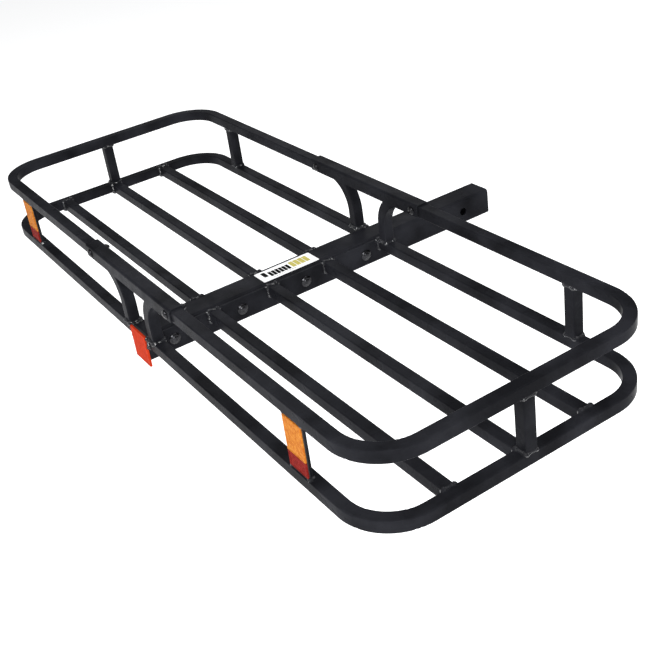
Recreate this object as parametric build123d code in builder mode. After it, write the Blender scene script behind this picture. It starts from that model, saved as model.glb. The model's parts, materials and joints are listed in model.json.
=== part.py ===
from build123d import *
import math
import os

# Hitch cargo carrier: two tubular half baskets bolted to a square hitch tube, with a channel
# bridging the two top rails on each side.
#
# Axes: +X to the right along the basket, +Y forward to the vehicle, +Z up.
# Origin: the centre of the hitch pin hole, on the axis of the hitch tube.

# ---------------------------------------------------------------- driving dimensions (mm)
basket_length = 1346.0          # overall, along X (53 in)
basket_width = 495.0            # overall, along Y (19.5 in)
rail_rise = 107.0               # deck tube centre to top rail centre

tube_size = 20.0                # square basket tube, across the flats
tube_wall = 1.5
tube_corner = 2.0               # outer corner radius of the tube's section
bend_radius = 77.0              # plan corners, at the tube's centre line
leg_bend_radius = 65.0          # where the top rail turns down into a leg
leg_x = 47.0                    # leg centre from the middle of the carrier

hitch_size = 50.8               # 2 in receiver size
hitch_wall = 3.2
hitch_corner = 6.0
pin_hole_d = 16.3               # for a 5/8 in pin
pin_to_end = 63.5               # pin hole to the front end of the hitch tube
pin_to_basket = 436.5           # pin hole to the middle of the basket
hitch_rear = 245.0              # rear end of the hitch tube, from the middle of the basket

deck_drop = 3.0                 # deck tubes sit this far below the top of the hitch tube
plate_thick = 4.0               # flat bar that the slats end on
plate_bottom = -19.0
slat_shift = -2.5               # all three slats sit this far off their even spacing
post_x = 513.5                  # far posts, from the middle of the carrier

bridge_length = 330.0           # channel over the joint in the top rails
bridge_wall = 2.5
bridge_play = 0.5               # channel to rail, each side and on top
bridge_corner = 4.0
bridge_skirt = 9.0              # how far the channel reaches below the rail's centre
bridge_bolt_x = 149.0

beam_bolt_pitch = 133.0         # four bolts, one in each bay between the slats
beam_bolt_d = 8.0
beam_head_size = (20.6, 5.0)    # diameter, height
beam_bolt_length = 72.0         # under the head
beam_washer_size = (17.0, 1.6)  # diameter, thickness
beam_nut_size = (13.0, 6.5, 2.0)    # across flats, hexagon height, collar height
bridge_bolt_d = 6.0
bridge_head_size = (15.5, 4.2)
bridge_bolt_length = 36.0
bridge_washer_size = (12.5, 1.2)
bridge_nut_size = (10.0, 5.0, 1.6)
bolt_play = 0.5                 # hole diameter over bolt diameter
washer_play = 0.4               # washer bore over bolt diameter
thread_play = 0.1               # nut bore over bolt diameter
bolt_tip = 0.6                  # chamfer at the end of a bolt
head_rim_share = 0.2            # upright rim of a head, as a share of its height
collar_step = 0.5               # nut collar radius under the across-flats radius

reflector_x = 500.5             # side reflectors, from the middle of the carrier
reflector_plate_size = (45.0, 4.0)  # width, thickness of the flat bar that carries one
reflector_low_gap = 2.0         # from the base tube's top
reflector_high_gap = 1.0        # from the rail's underside
backing_thick = 1.2
lens_thick = 2.8
lens_inset = 0.8                # lens edge to backing edge
lens_bevel = 0.6
red_share = 0.31                # lower part of the side reflectors
centre_reflector_size = (55.0, 59.0, 4.0)
centre_reflector_drop = 4.5     # its middle below the hitch tube's axis
centre_bevel = 1.0
reflector_corner = 2.0
cap_flange = 3.5
cap_depth = 16.0
cap_wall = 2.4
cap_play = 0.2                  # cap spigot to tube bore, each side
cap_corner = (2.4, 1.0)         # spigot corner radius, outside and inside

label_size = (38.6, 116.5, 0.4)
label_corner = 2.0
label_offset = (0.4, 47.0)      # from the middle of the basket

# ---------------------------------------------------------------- derived positions
half_tube = tube_size / 2
half_hitch = hitch_size / 2
basket_y = -pin_to_basket
deck_z = half_hitch - deck_drop - half_tube
deck_top = deck_z + half_tube
rail_z = deck_z + rail_rise
rail_under = rail_z - half_tube
end_x = basket_length / 2 - half_tube
side_y = basket_width / 2 - half_tube
plate_face = half_hitch + plate_thick
slat_ys = {
    "near": slat_shift - side_y / 2,
    "middle": slat_shift,
    "far": slat_shift + side_y / 2,
}
side_ys = {"near": -side_y, "far": side_y}
beam_bolt_ys = [beam_bolt_pitch * k for k in (-1.5, -0.5, 0.5, 1.5)]
halves = {"left": -1, "right": 1}

os.makedirs("parts", exist_ok=True)
written = []


def save(builder, name):
    builder.part.label = name
    export_step(builder.part, f"parts/{name}.step")
    written.append(name)
    print(f"{name:28s} {len(builder.part.solids())} solid(s) {builder.part.volume / 1000:9.2f} cm3")


def at(x, y, z):
    """A point given from the middle of the basket in plan, and from the pin's axis in height."""
    return (x, basket_y + y, z)


def tube_section():
    """Hollow square section with rounded corners, drawn on the current sketch plane."""
    bore = tube_size - 2 * tube_wall
    RectangleRounded(tube_size, tube_size, tube_corner)
    RectangleRounded(bore, bore, tube_corner - tube_wall, mode=Mode.SUBTRACT)


def bent_tube(points, radii, start_dir, flat_dir):
    """A tube swept along straight runs joined by tangent arcs."""
    with BuildPart() as tube:
        with BuildLine() as path:
            FilletPolyline(*points, radius=radii)
        with BuildSketch(Plane(origin=points[0], x_dir=flat_dir, z_dir=start_dir)):
            tube_section()
        sweep(path=path.line)
    return tube


def straight_tube(start, along, length, flat_dir):
    """A straight tube from a start point along a direction."""
    with BuildPart() as tube:
        with BuildSketch(Plane(origin=start, x_dir=flat_dir, z_dir=along)):
            tube_section()
        extrude(amount=length)
    return tube


# ---------------------------------------------------------------- hitch tube
hitch_front = pin_to_end
hitch_length = pin_to_basket + hitch_rear + hitch_front

with BuildPart() as hitch_tube:
    with BuildSketch(Plane.XZ.offset(-hitch_front)):
        RectangleRounded(hitch_size, hitch_size, hitch_corner)
        RectangleRounded(
            hitch_size - 2 * hitch_wall,
            hitch_size - 2 * hitch_wall,
            hitch_corner - hitch_wall,
            mode=Mode.SUBTRACT,
        )
    extrude(amount=hitch_length)
    with BuildSketch(Plane.YZ.offset(-half_hitch)):
        Circle(pin_hole_d / 2)
        with Locations(*[(basket_y + y, 0) for y in beam_bolt_ys]):
            Circle((beam_bolt_d + bolt_play) / 2)
    extrude(amount=hitch_size, mode=Mode.SUBTRACT)
save(hitch_tube, "hitch_tube")

# Plastic cap in the rear end of the hitch tube: a flange with a hollow spigot behind it.
cap_back = basket_y - hitch_rear
spigot = hitch_size - 2 * hitch_wall - 2 * cap_play
with BuildPart() as hitch_end_cap:
    with BuildSketch(Plane.XZ.offset(-cap_back)):
        RectangleRounded(hitch_size, hitch_size, hitch_corner)
    extrude(amount=cap_flange)
    with BuildSketch(Plane.XZ.offset(-cap_back)):
        RectangleRounded(spigot, spigot, cap_corner[0])
        hollow = spigot - 2 * cap_wall
        RectangleRounded(hollow, hollow, cap_corner[1], mode=Mode.SUBTRACT)
    extrude(amount=-cap_depth)
save(hitch_end_cap, "hitch_end_cap")

centre_w, centre_h, centre_t = centre_reflector_size
with BuildPart() as centre_reflector:
    with BuildSketch(Plane.XZ.offset(-(cap_back - cap_flange))):
        with Locations((0, -centre_reflector_drop)):
            RectangleRounded(centre_w, centre_h, reflector_corner)
    extrude(amount=centre_t)
    front = centre_reflector.faces().sort_by(Axis.Y)[0]
    chamfer(front.outer_wire().edges(), centre_bevel)
save(centre_reflector, "centre_reflector")

# ---------------------------------------------------------------- the two half baskets
for side, s in halves.items():
    # Flat bar along the hitch tube. The base frame and the slats are welded to its outer face.
    with BuildPart() as side_plate:
        with BuildSketch(Plane.YZ.offset(s * half_hitch)):
            with Locations((basket_y, (deck_top + plate_bottom) / 2)):
                Rectangle(basket_width, deck_top - plate_bottom)
            with Locations(*[(basket_y + y, 0) for y in beam_bolt_ys]):
                Circle((beam_bolt_d + bolt_play) / 2, mode=Mode.SUBTRACT)
        extrude(amount=s * plate_thick)
    save(side_plate, f"{side}_side_plate")

    # Base frame: one tube bent into a U that opens towards the hitch tube.
    base_points = [
        at(s * plate_face, -side_y, deck_z),
        at(s * end_x, -side_y, deck_z),
        at(s * end_x, side_y, deck_z),
        at(s * plate_face, side_y, deck_z),
    ]
    base_frame = bent_tube(base_points, bend_radius, (s, 0, 0), (0, 0, 1))
    save(base_frame, f"{side}_base_frame")

    # Three slats across the deck, from the flat bar to the end run of the base frame.
    slat_length = end_x - half_tube - plate_face
    for place, y in slat_ys.items():
        slat = straight_tube(at(s * plate_face, y, deck_z), (s, 0, 0), slat_length, (0, 0, 1))
        save(slat, f"{side}_slat_{place}")

    # Top rail: one tube that stands on the base frame as a leg beside the hitch tube, turns
    # outwards, runs round the end of the basket and comes down again as the other leg.
    rail_points = [
        at(s * leg_x, -side_y, deck_top),
        at(s * leg_x, -side_y, rail_z),
        at(s * end_x, -side_y, rail_z),
        at(s * end_x, side_y, rail_z),
        at(s * leg_x, side_y, rail_z),
        at(s * leg_x, side_y, deck_top),
    ]
    rail_radii = [leg_bend_radius, bend_radius, bend_radius, leg_bend_radius]
    with BuildPart() as upper_rail:
        add(bent_tube(rail_points, rail_radii, (0, 0, 1), (1, 0, 0)).part)
        for y in side_ys.values():
            with BuildSketch(Plane.XZ.offset(-(basket_y + y - half_tube))):
                with Locations((s * bridge_bolt_x, rail_z)):
                    Circle((bridge_bolt_d + bolt_play) / 2)
            extrude(amount=-tube_size, mode=Mode.SUBTRACT)
    save(upper_rail, f"{side}_upper_rail")

    # Square posts between the base frame and the top rail, at the end and on the far side.
    posts = {"end": (end_x, 0), "far": (post_x, side_y)}
    for place, (x, y) in posts.items():
        post = straight_tube(at(s * x, y, deck_top), (0, 0, 1), rail_under - deck_top, (1, 0, 0))
        save(post, f"{side}_{place}_post")

    # On the near side a flat bar takes the post's place. It is set back from the outer face of
    # the tubes by the thickness of the reflector, so that the lens ends up flush with them.
    plate_w, plate_t = reflector_plate_size
    plate_front = basket_y - side_y - half_tube + backing_thick + lens_thick
    with BuildPart() as reflector_plate:
        with BuildSketch(Plane.XZ.offset(-plate_front)):
            with Locations((s * reflector_x, (deck_top + rail_under) / 2)):
                Rectangle(plate_w, rail_under - deck_top)
        extrude(amount=-plate_t)
    save(reflector_plate, f"{side}_reflector_plate")

    # Side reflector: a backing on the flat bar, with a two-colour lens.
    reflector_low = deck_top + reflector_low_gap
    reflector_high = rail_under - reflector_high_gap
    reflector_height = reflector_high - reflector_low
    red_height = reflector_height * red_share
    with BuildPart() as backing:
        with BuildSketch(Plane.XZ.offset(-plate_front)):
            with Locations((s * reflector_x, (reflector_low + reflector_high) / 2)):
                RectangleRounded(plate_w, reflector_height, reflector_corner)
        extrude(amount=backing_thick)
    save(backing, f"{side}_reflector_backing")

    lenses = {
        "red": (reflector_low + lens_inset, reflector_low + red_height),
        "amber": (reflector_low + red_height, reflector_high - lens_inset),
    }
    for colour, (low, high) in lenses.items():
        with BuildPart() as lens:
            with BuildSketch(Plane.XZ.offset(-(plate_front - backing_thick))):
                with Locations((s * reflector_x, (low + high) / 2)):
                    Rectangle(plate_w - 2 * lens_inset, high - low)
            extrude(amount=lens_thick)
            chamfer(lens.faces().sort_by(Axis.Y)[0].outer_wire().edges(), lens_bevel)
        save(lens, f"{side}_reflector_{colour}")

# ---------------------------------------------------------------- channels over the top rails
bridge_width = tube_size + 2 * (bridge_play + bridge_wall)
bridge_top = rail_z + half_tube + bridge_play + bridge_wall
bridge_bottom = rail_z - bridge_skirt
bridge_height = bridge_top - bridge_bottom
bridge_start = Plane.YZ.offset(-bridge_length / 2)
for place, y in side_ys.items():
    with BuildPart() as bridge:
        with BuildSketch(bridge_start):
            with Locations((basket_y + y, (bridge_top + bridge_bottom) / 2)):
                Rectangle(bridge_width, bridge_height)
        extrude(amount=bridge_length)
        fillet(bridge.edges().filter_by(Axis.X).group_by(Axis.Z)[-1], bridge_corner)
        with BuildSketch(bridge_start):
            with Locations((basket_y + y, (bridge_top + bridge_bottom) / 2 - bridge_wall)):
                Rectangle(bridge_width - 2 * bridge_wall, bridge_height)
        extrude(amount=bridge_length, mode=Mode.SUBTRACT)
        with BuildSketch(Plane.XZ.offset(-(basket_y + y - bridge_width / 2))):
            with Locations((-bridge_bolt_x, rail_z), (bridge_bolt_x, rail_z)):
                Circle((bridge_bolt_d + bolt_play) / 2)
        extrude(amount=-bridge_width, mode=Mode.SUBTRACT)
    save(bridge, f"{place}_rail_bridge")


# ---------------------------------------------------------------- fasteners
def place_along(spot, direction, distance):
    """The point at a distance from a spot, along a unit direction."""
    return tuple(p + d * distance for p, d in zip(spot, direction))


def domed_bolts(spots, direction, shank_d, head_size, length):
    """Mushroom-headed bolts. Each head's underside sits at its spot and faces backwards."""
    head_d, head_h = head_size
    rim_h = head_h * head_rim_share
    cap_h = head_h - rim_h
    cap_r = ((head_d / 2) ** 2 + cap_h ** 2) / (2 * cap_h)
    half_angle = math.asin(head_d / 2 / cap_r) / 2
    crown = (cap_r * math.sin(half_angle), head_h - cap_r + cap_r * math.cos(half_angle))
    with BuildPart() as bolts:
        for spot in spots:
            up = Vector(0, 0, 1)
            with BuildSketch(Plane(origin=spot, x_dir=up, z_dir=up.cross(Vector(*direction)))):
                with BuildLine():
                    Polyline(
                        (0, head_h),
                        (0, -length),
                        (shank_d / 2 - bolt_tip, -length),
                        (shank_d / 2, -length + bolt_tip),
                        (shank_d / 2, 0),
                        (head_d / 2, 0),
                        (head_d / 2, rim_h),
                    )
                    ThreePointArc((head_d / 2, rim_h), crown, (0, head_h))
                make_face()
            revolve(axis=Axis(spot, direction))
    return bolts


def washers(spots, direction, bore_d, size):
    """Flat washers that lie against their spots, on the side that the direction points to."""
    outer_d, thick = size
    with BuildPart() as rings:
        for spot in spots:
            with BuildSketch(Plane(origin=spot, z_dir=direction)):
                Circle(outer_d / 2)
                Circle(bore_d / 2, mode=Mode.SUBTRACT)
            extrude(amount=thick)
    return rings


def lock_nuts(spots, direction, bore_d, size):
    """Hexagon nuts with a round collar that holds the nylon ring."""
    across_flats, hex_h, collar_h = size
    with BuildPart() as nuts:
        for spot in spots:
            with BuildSketch(Plane(origin=spot, z_dir=direction)):
                RegularPolygon(across_flats / 2, 6, major_radius=False)
                Circle(bore_d / 2, mode=Mode.SUBTRACT)
            extrude(amount=hex_h)
            top = place_along(spot, direction, hex_h)
            with BuildSketch(Plane(origin=top, z_dir=direction)):
                Circle(across_flats / 2 - collar_step)
                Circle(bore_d / 2, mode=Mode.SUBTRACT)
            extrude(amount=collar_h)
    return nuts


# M8 bolts through the flat bars and the hitch tube, heads on the right.
right = (1, 0, 0)
left = (-1, 0, 0)
under_heads = [at(plate_face, y, 0) for y in beam_bolt_ys]
under_washers = [at(-plate_face, y, 0) for y in beam_bolt_ys]
under_nuts = [place_along(spot, left, beam_washer_size[1]) for spot in under_washers]
save(domed_bolts(under_heads, right, beam_bolt_d, beam_head_size, beam_bolt_length), "beam_bolts")
save(washers(under_washers, left, beam_bolt_d + washer_play, beam_washer_size), "beam_washers")
save(lock_nuts(under_nuts, left, beam_bolt_d + thread_play, beam_nut_size), "beam_nuts")

# M6 bolts through the channels and the top rails, heads to the rear.
forward = (0, 1, 0)
rearward = (0, -1, 0)
for place, y in side_ys.items():
    spots = [at(x, y, rail_z) for x in (-bridge_bolt_x, bridge_bolt_x)]
    under_heads = [place_along(spot, rearward, bridge_width / 2) for spot in spots]
    under_washers = [place_along(spot, forward, bridge_width / 2) for spot in spots]
    under_nuts = [place_along(spot, forward, bridge_washer_size[1]) for spot in under_washers]
    bolts = domed_bolts(under_heads, rearward, bridge_bolt_d, bridge_head_size, bridge_bolt_length)
    rings = washers(under_washers, forward, bridge_bolt_d + washer_play, bridge_washer_size)
    nuts = lock_nuts(under_nuts, forward, bridge_bolt_d + thread_play, bridge_nut_size)
    save(bolts, f"{place}_bridge_bolts")
    save(rings, f"{place}_bridge_washers")
    save(nuts, f"{place}_bridge_nuts")

# ---------------------------------------------------------------- label on top of the hitch tube
with BuildPart() as label:
    with BuildSketch(Plane.XY.offset(half_hitch)):
        with Locations((label_offset[0], basket_y + label_offset[1])):
            RectangleRounded(label_size[0], label_size[1], label_corner)
    extrude(amount=label_size[2])
save(label, "label")

print(len(written), "nodes")
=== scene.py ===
# %% [markdown]
# # A hitch cargo carrier, finished in Blender
# The carrier is a low basket of square steel tube. Two half baskets are bolted to a square hitch
# tube, and a channel bridges the top rails on each side. The solids already exist as a packed
# frame, exact in size. Blender adds what solids leave out: the coat of paint, the weld beads, the
# bolt heads and threads, the prisms of the reflectors and the print on the label.
# The first cell loads that frame. Nothing here moves it, so each new piece takes its place from
# the box of a frame node.

import json
import math

import bmesh
import bpy
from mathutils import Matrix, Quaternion, Vector


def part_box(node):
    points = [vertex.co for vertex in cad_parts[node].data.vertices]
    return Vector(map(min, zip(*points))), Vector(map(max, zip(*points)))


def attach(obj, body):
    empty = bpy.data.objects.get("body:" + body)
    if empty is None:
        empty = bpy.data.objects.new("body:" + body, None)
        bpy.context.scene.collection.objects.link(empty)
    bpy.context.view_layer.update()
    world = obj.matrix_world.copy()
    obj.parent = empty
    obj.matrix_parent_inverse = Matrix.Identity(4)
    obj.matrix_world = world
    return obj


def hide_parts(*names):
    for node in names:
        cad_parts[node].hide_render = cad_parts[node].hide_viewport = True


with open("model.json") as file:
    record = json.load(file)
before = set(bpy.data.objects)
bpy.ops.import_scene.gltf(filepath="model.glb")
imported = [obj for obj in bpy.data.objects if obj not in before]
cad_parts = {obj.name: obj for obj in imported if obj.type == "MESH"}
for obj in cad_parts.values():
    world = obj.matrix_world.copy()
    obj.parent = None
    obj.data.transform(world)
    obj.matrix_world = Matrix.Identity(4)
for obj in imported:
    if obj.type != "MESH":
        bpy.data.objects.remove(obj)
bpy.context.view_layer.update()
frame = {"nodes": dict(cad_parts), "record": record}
nodes = frame["nodes"]

# %% [markdown]
# ## Key places
# Every piece below asks where the basket's middle is, how thick its tubes are, and where the deck
# and the rails lie. These could be typed in again, but a value read from the frame can't drift
# away from it. The width of a slat is the tube's size, and the two base frames give the middle.

# %% Read the key places from the boxes
halves = {"left": -1, "right": 1}
slat_low, slat_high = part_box("left_slat_middle")
tube = slat_high.z - slat_low.z
deck_top = slat_high.z
hitch_low, hitch_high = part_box("hitch_tube")
plate_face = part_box("right_side_plate")[1].x
base_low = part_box("left_base_frame")[0]
base_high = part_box("right_base_frame")[1]
basket_middle = (base_low + base_high) / 2
print(f"tube {tube * 1000:.0f} mm, basket middle {tuple(round(v, 4) for v in basket_middle)}")

# %% [markdown]
# ## The camera
# A product like this is seen from above one corner, so that the deck, the near rail and one end
# all show. The camera could be placed by eye. Here it is set by where it looks and from how far:
# a turn round the basket, a height angle, a distance and a slight roll. That keeps each choice
# readable. The lens is a little longer than normal, so that the tubes hardly taper.

# %% Set the camera
turn, climb, roll = math.radians(61.02), math.radians(27.66), math.radians(-8.91)
look_at = basket_middle + Vector((0.0219, 0.0780, 0.0))
distance = 1.8913
back = Vector((math.sin(turn) * math.cos(climb), -math.cos(turn) * math.cos(climb), math.sin(climb)))
camera_data = bpy.data.cameras.new("camera")
camera_data.sensor_width = 36.0
camera_data.lens = 58.71
camera_data.shift_x, camera_data.shift_y = 0.0224, -0.0798
camera_data.clip_end = 100.0
camera = bpy.data.objects.new("camera", camera_data)
camera.location = look_at + back * distance
camera.rotation_mode = "QUATERNION"
camera.rotation_quaternion = (-back).to_track_quat("-Z", "Y") @ Quaternion((0, 0, 1), roll)
bpy.context.scene.collection.objects.link(camera)
bpy.context.scene.camera = camera
print("camera at", tuple(round(v, 3) for v in camera.location))

# %% [markdown]
# ## Materials: how they are put together
# Each finish is a small network of nodes in front of one surface shader. Object coordinates drive
# the noise, because the frame's objects sit at the origin in metres: a speck has the same size on
# a bolt and on a rail. A helper makes the empty material, and another mixes two colours by a
# noise. Values that are the same everywhere go straight onto the shader's own sockets.

# %% Material helpers
def new_finish(name, roughness, gloss=0.5, metallic=0.0):
    """A material with one surface shader. Returns the material, its nodes, links and shader."""
    material = bpy.data.materials.new(name)
    material.use_nodes = True
    tree = material.node_tree
    shader = tree.nodes["Principled BSDF"]
    shader.inputs["Roughness"].default_value = roughness
    shader.inputs["Specular IOR Level"].default_value = gloss
    shader.inputs["Metallic"].default_value = metallic
    return material, tree.nodes, tree.links, shader


def add_noise(tree_nodes, links, scale, detail=3.0):
    """Noise in object coordinates. The scale is in features a metre."""
    place = tree_nodes.new("ShaderNodeTexCoord")
    noise = tree_nodes.new("ShaderNodeTexNoise")
    noise.inputs["Scale"].default_value = scale
    noise.inputs["Detail"].default_value = detail
    links.new(place.outputs["Object"], noise.inputs["Vector"])
    return noise.outputs["Fac"]


def add_ramp(tree_nodes, links, factor, dark, light, start=0.35, end=0.65):
    """Two colours, or two greys, spread over part of a factor's range."""
    ramp = tree_nodes.new("ShaderNodeValToRGB")
    ramp.color_ramp.elements[0].position = start
    ramp.color_ramp.elements[1].position = end
    ramp.color_ramp.elements[0].color = (*dark, 1.0)
    ramp.color_ramp.elements[1].color = (*light, 1.0)
    links.new(factor, ramp.inputs["Fac"])
    return ramp.outputs["Color"]


def add_bump(tree_nodes, links, height, shader, depth):
    """Small relief. The depth is in metres."""
    bump = tree_nodes.new("ShaderNodeBump")
    bump.inputs["Distance"].default_value = depth
    links.new(height, bump.inputs["Height"])
    links.new(bump.outputs["Normal"], shader.inputs["Normal"])


print("helpers ready")

# %% [markdown]
# ## Powder coat
# The frame is powder coated: a black plastic skin, baked on, with a faint orange peel of about a
# millimetre. It isn't an even black. The powder lies thinner in places and dust settles on it, so
# both the colour and the roughness wander slowly along a tube. On sharp edges the coat rubs
# thin and looks grey. An edge could be painted by hand, but a bevel node finds it: where a rounded
# normal differs from the true one, there is an edge. Over a weld bead the powder melts smoother
# and shines more, so the beads get the same coat with more gloss.

# %% Powder coat
WORN_EDGE = 0.0009
WORN_GREY = (0.060, 0.063, 0.070, 1.0)
PEEL_SCALE = 800.0
PEEL_DEPTH = 0.00006


def powder_coat(name, gloss, smoothest, roughest):
    """Black powder coat. Its roughness wanders between two values."""
    material, tree_nodes, links, shader = new_finish(name, roughest, gloss)
    cloud = add_noise(tree_nodes, links, 14.0, 5.0)
    black = add_ramp(tree_nodes, links, cloud, (0.0066, 0.0068, 0.0082), (0.0165, 0.0170, 0.0205))
    patches = add_noise(tree_nodes, links, 45.0)
    sheen = add_ramp(tree_nodes, links, patches, (smoothest,) * 3, (roughest,) * 3)
    links.new(sheen, shader.inputs["Roughness"])

    rounded = tree_nodes.new("ShaderNodeBevel")
    rounded.samples = 4
    rounded.inputs["Radius"].default_value = WORN_EDGE
    surface = tree_nodes.new("ShaderNodeNewGeometry")
    agree = tree_nodes.new("ShaderNodeVectorMath")
    agree.operation = "DOT_PRODUCT"
    links.new(rounded.outputs["Normal"], agree.inputs[0])
    links.new(surface.outputs["Normal"], agree.inputs[1])
    edge = tree_nodes.new("ShaderNodeMapRange")
    edge.inputs["From Min"].default_value = 0.97
    edge.inputs["From Max"].default_value = 0.80
    edge.inputs["To Max"].default_value = 0.8
    links.new(agree.outputs["Value"], edge.inputs["Value"])
    patchy = tree_nodes.new("ShaderNodeMath")
    patchy.operation = "MULTIPLY"
    links.new(edge.outputs["Result"], patchy.inputs[0])
    links.new(add_noise(tree_nodes, links, 160.0, 2.0), patchy.inputs[1])
    worn = tree_nodes.new("ShaderNodeMix")
    worn.data_type = "RGBA"
    worn.inputs[7].default_value = WORN_GREY
    links.new(patchy.outputs["Value"], worn.inputs["Factor"])
    links.new(black, worn.inputs[6])
    links.new(worn.outputs[2], shader.inputs["Base Color"])

    add_bump(tree_nodes, links, add_noise(tree_nodes, links, PEEL_SCALE, 2.0), shader, PEEL_DEPTH)
    return material


coat = powder_coat("black_powder_coat", 0.012, 0.24, 0.36)
bead_coat = powder_coat("bead_powder_coat", 0.32, 0.16, 0.24)
print("powder coat:", len(coat.node_tree.nodes), "nodes")

# %% [markdown]
# ## Bolts, plastic, lenses and film
# Four more finishes are needed. Black-plated steel is metal with a dull, uneven shine. The end cap
# and the reflector backs are moulded plastic with a fine spark-eroded grain. The lenses are dyed
# plastic, whose colour is deeper in some prisms than in others. The side reflectors' red is the
# same red as the centre reflector's, darkened: painted shade. The lenses get little gloss, so that
# the white floor doesn't wash out the dye. The label is a smooth film with matt inks. One function
# with different values makes all the plastics, because they differ only in colour, gloss and grain.

# %% Bolt steel and the plastics
def plated_steel():
    material, tree_nodes, links, shader = new_finish("black_plated_steel", 0.34, metallic=1.0)
    stain = add_noise(tree_nodes, links, 220.0, 4.0)
    colour = add_ramp(tree_nodes, links, stain, (0.020, 0.020, 0.022), (0.036, 0.036, 0.039))
    links.new(colour, shader.inputs["Base Color"])
    rub = add_ramp(tree_nodes, links, add_noise(tree_nodes, links, 400.0), (0.24,) * 3, (0.32,) * 3)
    links.new(rub, shader.inputs["Roughness"])
    add_bump(tree_nodes, links, add_noise(tree_nodes, links, 2500.0, 2.0), shader, 0.00003)
    return material


def moulded(name, dark, light, patch_scale, roughness, gloss, grain_scale, grain_depth):
    """Moulded or printed plastic: two close colours, some gloss and a fine grain."""
    material, tree_nodes, links, shader = new_finish(name, roughness, gloss)
    colour = add_ramp(tree_nodes, links, add_noise(tree_nodes, links, patch_scale), dark, light)
    links.new(colour, shader.inputs["Base Color"])
    grain = add_noise(tree_nodes, links, grain_scale, 2.0)
    span = roughness * 0.25
    rough = add_ramp(tree_nodes, links, grain, (roughness - span,) * 3, (roughness + span,) * 3)
    links.new(rough, shader.inputs["Roughness"])
    add_bump(tree_nodes, links, grain, shader, grain_depth)
    return material


def lens_plastic(name, dark, light, patch_scale, gloss):
    return moulded(name, dark, light, patch_scale, 0.34, gloss, 900.0, 0.00002)


def ink(name, dark, light, gloss):
    return moulded(name, dark, light, 200.0, 0.50, gloss, 1800.0, 0.00001)


steel = plated_steel()
black_plastic = moulded("black_plastic", (0.010,) * 3, (0.018,) * 3, 90.0, 0.55, 0.3, 1500.0, 0.00005)
amber = lens_plastic("amber_lens", (0.36, 0.095, 0.010), (0.49, 0.195, 0.030), 260.0, 0.02)
# The same red lens, darkened for the side reflectors: the darkness is painted shade.
red_painted_shade = lens_plastic("red_lens_painted_shade", (0.12, 0.008, 0.007), (0.21, 0.018, 0.014), 260.0, 0.008)
bright_red = lens_plastic("bright_red_lens", (0.36, 0.027, 0.009), (0.44, 0.037, 0.013), 120.0, 0.005)
white_film = moulded("white_film", (0.86,) * 3, (0.92,) * 3, 60.0, 0.35, 0.4, 700.0, 0.00001)
black_ink = ink("black_ink", (0.004,) * 3, (0.008,) * 3, 0.01)
yellow_ink = ink("yellow_ink", (0.42, 0.37, 0.08), (0.54, 0.47, 0.13), 0.1)
grey_ink = ink("grey_ink", (0.30,) * 3, (0.38,) * 3, 0.1)
print("finishes:", [m.name for m in bpy.data.materials if m.node_tree])

# %% [markdown]
# ## Finishing the frame nodes
# The tubes, plates, channels and washers keep their exact shape and only change their finish. The
# record says which slot each node takes its finish from, so a dictionary from slot to material
# paints them all. That is safer than a list of names: a new node is painted as soon as it has a
# slot.

# %% Paint the frame nodes
finish_of_slot = {
    "frame_coat": coat,
    "bolt_steel": steel,
    "cap_plastic": black_plastic,
    "amber_lens": amber,
    "red_lens": bright_red,
    "label_film": white_film,
}
slot_of_node = {part["node"]: part["material_slot"] for part in frame["record"]["subparts"]}
for name, node in nodes.items():
    node.data.materials.clear()
    node.data.materials.append(finish_of_slot[slot_of_node[name]])
print("painted", len(nodes), "nodes")

# %% [markdown]
# ## A helper for new pieces
# A new piece is a mesh of points and faces. It has to ride on the frame's one body and to carry
# its finish. The helper does these in one place, welds points that coincide, turns every face
# outwards, and smooths the shading except across sharp edges.

# %% Helper: a finished piece
SMOOTH_BELOW = math.radians(32)


def add_piece(name, bm, material, replaced=()):
    """Makes an object of a bmesh, finished and riding on the frame."""
    bmesh.ops.remove_doubles(bm, verts=bm.verts, dist=1e-6)
    bmesh.ops.recalc_face_normals(bm, faces=bm.faces)
    for edge in bm.edges:
        edge.smooth = edge.is_manifold and edge.calc_face_angle() < SMOOTH_BELOW
    for face in bm.faces:
        face.smooth = True
    mesh = bpy.data.meshes.new(name)
    bm.to_mesh(mesh)
    bm.free()
    mesh.materials.append(material)
    piece = bpy.data.objects.new(name, mesh)
    bpy.context.scene.collection.objects.link(piece)
    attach(piece, "root")
    if replaced:
        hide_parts(*replaced)
    print(f"{name}: {len(mesh.polygons)} faces")


# %% [markdown]
# ## Weld beads
# The slats, posts and legs are welded on all round. A bead is a small lumpy rope of metal in the
# joint, with a ripple for each pulse of the torch and a fatter blob at each corner, where the
# torch turns. It could be a curve with a round bevel, but a curve's bevel has one thickness along
# a straight run, so the ripples would be lost. Here a loop walks round the tube's rounded square
# and sets down a small ring of points at each step, with a radius that rises and falls.

# %% Walk round a rounded rectangle
BEAD_RADIUS = 0.0026
RIPPLE_PITCH = 0.0024
BEAD_STEP = 0.0006
CORNER_SPREAD = 0.0030
TUBE_CORNER = 0.0020
SECTION_POINTS = 8


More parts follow.
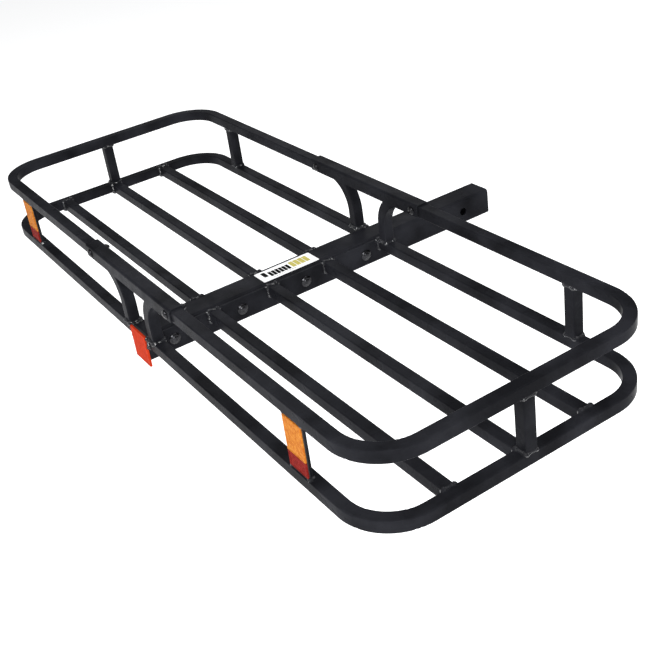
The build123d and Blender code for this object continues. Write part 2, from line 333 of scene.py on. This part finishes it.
def section_walk(wide, deep, corner):
    """Points round a rectangle of two half sizes: place, outward direction, corner share."""
    signs = ((1, 1), (-1, 1), (-1, -1), (1, -1))
    centres = [Vector((a * (wide - corner), b * (deep - corner))) for a, b in signs]
    walk = []
    for k in range(4):
        turns = max(2, round(corner * math.pi / 2 / BEAD_STEP))
        for i in range(turns):
            angle = (k + i / turns) * math.pi / 2
            outward = Vector((math.cos(angle), math.sin(angle)))
            walk.append((centres[k] + outward * corner, outward, 1.0))
        outward = Vector((math.cos((k + 1) * math.pi / 2), math.sin((k + 1) * math.pi / 2)))
        run = centres[(k + 1) % 4] - centres[k]
        steps = max(1, round(run.length / BEAD_STEP))
        for i in range(steps):
            to_corner = min(i, steps - i) * BEAD_STEP
            spot = centres[k] + run * (i / steps) + outward * corner
            walk.append((spot, outward, math.exp(-((to_corner / CORNER_SPREAD) ** 2))))
    return walk


print("steps round a tube:", len(section_walk(tube / 2, tube / 2, TUBE_CORNER)))

# %% [markdown]
# The bead's radius is a sum of three things: the ripple, a slow wander that differs from joint to
# joint, and the corner blob. Sines with a different start for each joint are enough, and give the
# same beads on each run.

# %% One bead round a joint
RIPPLE_SHARE = 0.10
CORNER_SHARE = 0.60


def weld_bead(bm, centre, axis, half_sizes, corner, seed):
    """A closed bead round a section that meets a surface at the centre, along the axis."""
    axis = Vector(axis)
    across = Vector((0, 0, 1)) if abs(axis.z) < 0.5 else Vector((1, 0, 0))
    third = axis.cross(across)
    rings = []
    for i, (spot, outward, corner_share) in enumerate(section_walk(*half_sizes, corner)):
        run = i * BEAD_STEP
        ripple = RIPPLE_SHARE * math.sin(2 * math.pi * run / RIPPLE_PITCH)
        wander = 0.12 * math.sin(run * 95.0 + seed * 2.1) + 0.07 * math.sin(run * 260.0 + seed)
        radius = BEAD_RADIUS * (1.0 + ripple + wander + CORNER_SHARE * corner_share)
        place = Vector(centre) + across * spot.x + third * spot.y
        out = across * outward.x + third * outward.y
        ring = []
        for k in range(SECTION_POINTS):
            angle = 2 * math.pi * k / SECTION_POINTS
            ring.append(bm.verts.new(place + (axis * math.cos(angle) + out * math.sin(angle)) * radius))
        rings.append(ring)
    for ring, following in zip(rings, rings[1:] + rings[:1]):
        for k in range(SECTION_POINTS):
            n = (k + 1) % SECTION_POINTS
            bm.faces.new((ring[k], ring[n], following[n], following[k]))


# %% [markdown]
# The joints are read from the frame. A slat meets the flat bar at one end and the base frame at
# the other. A post meets a tube at its foot and its head. Its outer face is level with the tube's,
# so its bead is sunk a little there, as if ground back. The flat bar behind each side reflector is
# welded in the same way. The legs are the turned-down ends of the top rails, so their feet stand
# on the base frame next to the hitch tube.

# %% Beads of both halves
POST_SINK = 0.0018
PLATE_CORNER = 0.0006
half_tube = tube / 2
tube_halves = (half_tube, half_tube)
for side, s in halves.items():
    rail_low, rail_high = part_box(f"{side}_upper_rail")
    deck_mid = deck_top - half_tube
    end_wall = s * (abs(base_low.x) - tube)

    deck_beads = bmesh.new()
    rows = []
    for place in ("near", "middle", "far"):
        low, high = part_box(f"{side}_slat_{place}")
        rows.append((low.y + high.y) / 2)
    for seed, y in enumerate(rows):
        weld_bead(deck_beads, (s * plate_face, y, deck_mid), (s, 0, 0), tube_halves, TUBE_CORNER, seed)
        weld_bead(deck_beads, (end_wall, y, deck_mid), (-s, 0, 0), tube_halves, TUBE_CORNER, seed + 5)
    for seed, y in enumerate((base_low.y + half_tube, base_high.y - half_tube)):
        weld_bead(deck_beads, (s * plate_face, y, deck_mid), (s, 0, 0), tube_halves, TUBE_CORNER, seed + 11)
    add_piece(f"{side}_deck_welds", deck_beads, bead_coat)

    post_beads = bmesh.new()
    sunk = half_tube - POST_SINK
    post_halves = {"end": (sunk, half_tube), "far": (half_tube, sunk)}
    for seed, (place, sizes) in enumerate(post_halves.items()):
        low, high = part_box(f"{side}_{place}_post")
        middle = (low + high) / 2
        weld_bead(post_beads, (middle.x, middle.y, low.z), (0, 0, 1), sizes, TUBE_CORNER, seed + 17)
        weld_bead(post_beads, (middle.x, middle.y, high.z), (0, 0, -1), sizes, TUBE_CORNER, seed + 23)
    low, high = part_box(f"{side}_reflector_plate")
    middle = (low + high) / 2
    plate_halves = ((high.x - low.x) / 2, (high.y - low.y) / 2)
    weld_bead(post_beads, (middle.x, middle.y, low.z), (0, 0, 1), plate_halves, PLATE_CORNER, 41)
    weld_bead(post_beads, (middle.x, middle.y, high.z), (0, 0, -1), plate_halves, PLATE_CORNER, 43)
    add_piece(f"{side}_post_welds", post_beads, bead_coat)

    leg_beads = bmesh.new()
    leg_inner = rail_low.x if s > 0 else rail_high.x
    leg_x = leg_inner + s * half_tube
    for seed, y in enumerate((rail_low.y + half_tube, rail_high.y - half_tube)):
        weld_bead(leg_beads, (leg_x, y, deck_top), (0, 0, 1), tube_halves, TUBE_CORNER, seed + 31)
    add_piece(f"{side}_leg_welds", leg_beads, bead_coat)

# %% [markdown]
# ## Bolts
# Four bolts hold the half baskets to the hitch tube, and two hold each channel. A head is a low
# dome with a shallow ring pressed into it, and the end that stands out of the nut is threaded. A
# turned part could be a profile with a screw modifier, but a thread isn't the same all round, so
# this function puts down rings of points whose radius may depend on the angle. The same function
# then makes the nuts, whose radius follows a hexagon.

# %% Helper: a turned part
def turned(bm, spot, direction, levels, radius_at, steps):
    """Rings of points at heights along a direction. radius_at(level, angle) gives each radius."""
    direction = Vector(direction)
    across = Vector((0, 0, 1))
    third = direction.cross(across)
    rings = []
    for level in levels:
        ring = []
        for k in range(steps):
            angle = 2 * math.pi * k / steps
            height, radius = radius_at(level, angle)
            around = across * math.cos(angle) + third * math.sin(angle)
            ring.append(bm.verts.new(Vector(spot) + direction * height + around * radius))
        rings.append(ring)
    for ring, following in zip(rings, rings[1:]):
        for k in range(steps):
            n = (k + 1) % steps
            bm.faces.new((ring[k], ring[n], following[n], following[k]))
    bm.faces.new(rings[0])
    bm.faces.new(list(reversed(rings[-1])))


# %% [markdown]
# A bolt is made from the crown down to the tip. Each level says which part of the bolt it belongs
# to: a share of the head's radius on the dome, or a depth on the shank. On the thread, the radius
# drops by a triangle wave that runs round and down together, which is what makes a helix.

# %% Make the bolts
HEAD_RIM_SHARE = 0.2
THREADED_SHARE = 0.3
THREAD_DEPTH = 0.61
M8_SHANK, M8_PITCH = 0.008, 0.00125
M6_SHANK, M6_PITCH = 0.006, 0.001


def make_bolt(bm, spot, direction, head_d, head_h, shank_d, length, pitch, threaded):
    head_r, shank_r = head_d / 2, shank_d / 2
    rim = head_h * HEAD_RIM_SHARE
    dome = head_h - rim
    sphere = (head_r**2 + dome**2) / (2 * dome)
    ring_at, ring_width, ring_depth = 0.60, 0.07, 0.00055

    def radius_at(level, angle):
        part, value = level
        if part == "dome":
            radius = head_r * value
            height = head_h - sphere + math.sqrt(sphere**2 - radius**2)
            height -= ring_depth * math.exp(-(((value - ring_at) / ring_width) ** 2))
            return height, radius
        if part == "rim":
            return value * rim, head_r
        depth = value * length
        radius = shank_r
        if depth > length - threaded:
            phase = (depth / pitch - angle / (2 * math.pi)) % 1.0
            radius -= THREAD_DEPTH * pitch * abs(2 * phase - 1)
        radius = min(radius, shank_r - pitch * 0.5 + (length - depth) * 0.9)
        return -depth, radius

    levels = [("dome", 0.001)]
    levels += [("dome", i / 24) for i in range(1, 25)]
    levels += [("rim", 0.0), ("shank", 0.0), ("shank", 1 - threaded / length)]
    turns = round(threaded / pitch * 6)
    levels += [("shank", 1 - threaded / length * (1 - i / turns)) for i in range(1, turns + 1)]
    turned(bm, spot, direction, levels, radius_at, 36)


def bolts_piece(name, direction, rows, head_d, shank_d, length, pitch):
    """Replaces a node of bolts by detailed ones. The rows are the bolts' head spots."""
    low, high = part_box(name)
    axis = Vector(direction)
    head_h = abs((high - low).dot(axis)) - length
    bm = bmesh.new()
    for spot in rows:
        make_bolt(bm, spot, axis, head_d, head_h, shank_d, length, pitch, length * THREADED_SHARE)
    add_piece(f"{name}_detailed", bm, steel, (name,))


beam_low, beam_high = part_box("beam_bolts")
beam_head = beam_high.z - beam_low.z
beam_first = beam_low.y + beam_head / 2
beam_pitch = (beam_high.y - beam_low.y - beam_head) / 3
beam_rows = [Vector((plate_face, beam_first + beam_pitch * k, 0.0)) for k in range(4)]
beam_length = plate_face - beam_low.x
bolts_piece("beam_bolts", (1, 0, 0), beam_rows, beam_head, M8_SHANK, beam_length, M8_PITCH)

bridge_rows = {}
for place in ("near", "far"):
    low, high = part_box(f"{place}_bridge_bolts")
    head = high.z - low.z
    channel_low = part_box(f"{place}_rail_bridge")[0]
    z = (low.z + high.z) / 2
    xs = (low.x + head / 2, high.x - head / 2)
    bridge_rows[place] = [Vector((x, channel_low.y, z)) for x in xs]
    length = high.y - channel_low.y
    bolts_piece(f"{place}_bridge_bolts", (0, -1, 0), bridge_rows[place], head, M6_SHANK, length, M6_PITCH)

# %% [markdown]
# ## Lock nuts
# A lock nut is a hexagon with its corners turned off by a cone at both ends, and a round collar
# on top that grips a plastic ring. Cutting the chamfer with a modifier would work too. Taking the
# smaller of two radii at each point, the hexagon's and the cone's, gives the same curved edges.

# %% Make the nuts
COLLAR_SHARE = 0.24
COLLAR_WIDTH, LIP_WIDTH = 0.92, 0.84
CONE_START, CONE_SLOPE = 0.99, 1.9


def make_nut(bm, spot, direction, flats, hex_h, collar_h, bore):
    """A lock nut with its seat at the spot. Its levels are pairs of a height and a kind."""
    apothem = flats / 2

    def radius_at(level, angle):
        height, kind = level
        if kind == "bore":
            return height, bore / 2
        if kind == "collar":
            return height, apothem * COLLAR_WIDTH
        if kind == "lip":
            return height, apothem * LIP_WIDTH
        folded = (angle + math.pi / 6) % (math.pi / 3) - math.pi / 6
        hexagon = apothem / math.cos(folded)
        cone = apothem * CONE_START + CONE_SLOPE * min(height, hex_h - height)
        return height, min(hexagon, cone)

    levels = [(0.0, "bore")]
    levels += [(hex_h * i / 14, "hexagon") for i in range(15)]
    top = hex_h + collar_h
    levels += [(hex_h, "collar"), (top - 0.0005, "collar"), (top, "lip"), (top, "bore")]
    turned(bm, spot, direction, levels, radius_at, 72)


def nuts_piece(name, direction, rows, bore):
    low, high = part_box(name)
    axis = Vector(direction)
    thick = abs((high - low).dot(axis))
    flats = (high.z - low.z) * math.sqrt(3) / 2
    collar_h = thick * COLLAR_SHARE
    bm = bmesh.new()
    for row in rows:
        make_nut(bm, row, axis, flats, thick - collar_h, collar_h, bore)
    add_piece(f"{name}_detailed", bm, steel, (name,))


beam_nut_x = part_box("beam_nuts")[1].x
nuts_piece("beam_nuts", (-1, 0, 0), [Vector((beam_nut_x, v.y, v.z)) for v in beam_rows], M8_SHANK)
for place, rows in bridge_rows.items():
    nut_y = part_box(f"{place}_bridge_nuts")[0].y
    seats = [Vector((v.x, nut_y, v.z)) for v in rows]
    nuts_piece(f"{place}_bridge_nuts", (0, 1, 0), seats, M6_SHANK)

# %% [markdown]
# ## Reflectors
# A reflector is a dyed lens with hundreds of small prisms that send light back. A flat block with
# a bump map would look right only from afar. Here the lens is a real shape: a bevelled frame round
# a field of small pyramids, each a few millimetres wide. The field's counts come from the lens's
# size, so that whole pyramids fill it.

# %% Make the lenses
def make_lens(name, material, slot, prism, margin, sink, relief):
    """A lens that faces the rear, in the box of its node, with prisms inside a raised frame."""
    low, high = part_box(name)
    bevel = 0.0008
    bm = bmesh.new()

    def loop(inset, y):
        corners = ((low.x + inset, low.z + inset), (high.x - inset, low.z + inset),
                   (high.x - inset, high.z - inset), (low.x + inset, high.z - inset))
        return [bm.verts.new((x, y, z)) for x, z in corners]

    loops = [loop(0, high.y), loop(0, low.y + bevel), loop(bevel, low.y), loop(margin, low.y)]
    loops.append(loop(margin + sink * 0.3, low.y + sink))
    for outer, inner in zip(loops, loops[1:]):
        for k in range(4):
            n = (k + 1) % 4
            bm.faces.new((outer[k], outer[n], inner[n], inner[k]))
    bm.faces.new(loops[0])

    inset = margin + sink * 0.3
    width, height = high.x - low.x - 2 * inset, high.z - low.z - 2 * inset
    columns, rows = max(1, round(width / prism)), max(1, round(height / prism))
    grid = []
    for j in range(rows + 1):
        z = low.z + inset + height * j / rows
        grid.append([bm.verts.new((low.x + inset + width * i / columns, low.y + sink, z))
                     for i in range(columns + 1)])
    for j in range(rows):
        for i in range(columns):
            square = (grid[j][i], grid[j][i + 1], grid[j + 1][i + 1], grid[j + 1][i])
            peak = sum((v.co for v in square), Vector()) / 4
            tip = bm.verts.new((peak.x, low.y + sink - relief, peak.z))
            for k in range(4):
                bm.faces.new((square[k], square[(k + 1) % 4], tip))
    print(name, "prisms:", columns, "by", rows)
    add_piece(f"{name}_detailed", bm, material, (name,))


side_prisms = {"prism": 0.0034, "margin": 0.0016, "sink": 0.0009, "relief": 0.0007}
for side in halves:
    make_lens(f"{side}_reflector_amber", amber, "amber_lens", **side_prisms)
    # The side red lenses take the darkened copy of the red, which is painted shade.
    make_lens(f"{side}_reflector_red", red_painted_shade, "red_lens", **side_prisms)
centre_prisms = {"prism": 0.0020, "margin": 0.0030, "sink": 0.0004, "relief": 0.0003}
make_lens("centre_reflector", bright_red, "red_lens", **centre_prisms)

# %% [markdown]
# ## The label
# A white film lies on top of the hitch tube, printed with plain blocks of ink: a black block, a row
# of black ones, a row of yellow ones and a row of small grey ones, with no words. They could be
# painted by the film's material, but printed ink has crisp edges at any distance, so each block is
# a thin patch just above the film, with rounded corners.

# %% Print the label
def ink_row(name, material, along, across, blocks, gap=0.0012, thick=0.00006):
    """A row of ink blocks on the label, given by shares of its length and of its width."""
    low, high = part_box("label")
    size = high - low
    x0, x1 = low.x + size.x * across[0], low.x + size.x * across[1]
    start, end = low.y + size.y * along[0], low.y + size.y * along[1]
    pitch = (end - start + gap) / blocks
    bm = bmesh.new()
    for block in range(blocks):
        y0 = start + block * pitch
        y1 = y0 + pitch - gap
        r = 0.4 * min(x1 - x0, y1 - y0, 0.003)
        outline = []
        centres = ((x1 - r, y1 - r), (x0 + r, y1 - r), (x0 + r, y0 + r), (x1 - r, y0 + r))
        for k, (cx, cy) in enumerate(centres):
            for i in range(5):
                angle = (k + i / 4) * math.pi / 2
                outline.append((cx + r * math.cos(angle), cy + r * math.sin(angle)))
        lower = [bm.verts.new((x, y, high.z)) for x, y in outline]
        upper = [bm.verts.new((x, y, high.z + thick)) for x, y in outline]
        for k in range(len(outline)):
            n = (k + 1) % len(outline)
            bm.faces.new((lower[k], lower[n], upper[n], upper[k]))
        bm.faces.new(lower)
        bm.faces.new(upper)
    add_piece(name, bm, material)


ink_row("label_black_block", black_ink, (0.085, 0.155), (0.14, 0.62), 1)
ink_row("label_black_row", black_ink, (0.185, 0.55), (0.26, 0.74), 6)
ink_row("label_yellow_row", yellow_ink, (0.58, 0.90), (0.16, 0.72), 4)
ink_row("label_grey_line", grey_ink, (0.20, 0.60), (0.82, 0.87), 9)

# %% [markdown]
# ## Floor and light
# The carrier hangs in its receiver, so the floor is well below it, as the road would be. The
# floor is a wide pale sheet that glows a little, like a lit studio table, so that it stays white
# behind the carrier and lights the undersides. The rest is plain and soft: a large sheet of light
# overhead, two faint ones towards the front for the tubes' rounded edges, and two lamps towards
# the rear that put small highlights on the bolt heads and the beads. A pale sky fills the shadows.

# %% Floor
ground_below = 0.42
floor_mesh = bpy.data.meshes.new("floor")
reach = 30.0
ground = hitch_low.z - ground_below
bm = bmesh.new()
bmesh.ops.create_grid(bm, x_segments=8, y_segments=8, size=reach)
bmesh.ops.translate(bm, verts=bm.verts, vec=(0, 0, ground))
bm.to_mesh(floor_mesh)
bm.free()
floor = bpy.data.objects.new("floor", floor_mesh)
bpy.context.scene.collection.objects.link(floor)
floor_finish, floor_nodes, floor_links, floor_shader = new_finish("pale_floor", 0.9, gloss=0.1)
stains = add_noise(floor_nodes, floor_links, 0.6)
pale = add_ramp(floor_nodes, floor_links, stains, (0.86,) * 3, (0.88,) * 3)
floor_links.new(pale, floor_shader.inputs["Base Color"])
floor_shader.inputs["Emission Color"].default_value = (1.0, 1.0, 1.0, 1.0)
floor_shader.inputs["Emission Strength"].default_value = 0.66
floor_mesh.materials.append(floor_finish)
print("floor at", round(ground, 3))

# %% Sky and lights
world = bpy.data.worlds.new("sky")
world.use_nodes = True
world.node_tree.nodes["Background"].inputs["Color"].default_value = (0.95, 0.97, 1.0, 1.0)
world.node_tree.nodes["Background"].inputs["Strength"].default_value = 0.22
bpy.context.scene.world = world
bpy.context.scene.view_settings.view_transform = "Standard"


def soft_light(name, toward, away, width, depth, power):
    """A sheet of light that stands away from the basket in a direction and faces its middle."""
    toward = Vector(toward).normalized()
    data = bpy.data.lights.new(name, "AREA")
    data.shape = "RECTANGLE"
    data.size, data.size_y = width, depth
    data.energy = power
    light = bpy.data.objects.new(name, data)
    light.location = basket_middle + toward * away
    light.rotation_mode = "QUATERNION"
    light.rotation_quaternion = (-toward).to_track_quat("-Z", "Y")
    bpy.context.scene.collection.objects.link(light)
    print(name, "at", tuple(round(v, 2) for v in light.location))


soft_light("overhead_sheet", (0.1, 0.1, 1.0), 3.2, 4.0, 4.0, 90.0)
soft_light("left_front_sheet", (-0.80, 0.45, 0.52), 3.2, 1.6, 1.0, 9.0)
soft_light("right_front_sheet", (0.46, 0.43, 0.78), 3.0, 1.0, 1.0, 14.0)
soft_light("right_rear_lamp", (0.78, -0.44, 0.36), 2.6, 0.80, 0.90, 52.0)
soft_light("rear_lamp", (-0.06, -0.92, 0.30), 2.6, 0.90, 0.60, 24.0)
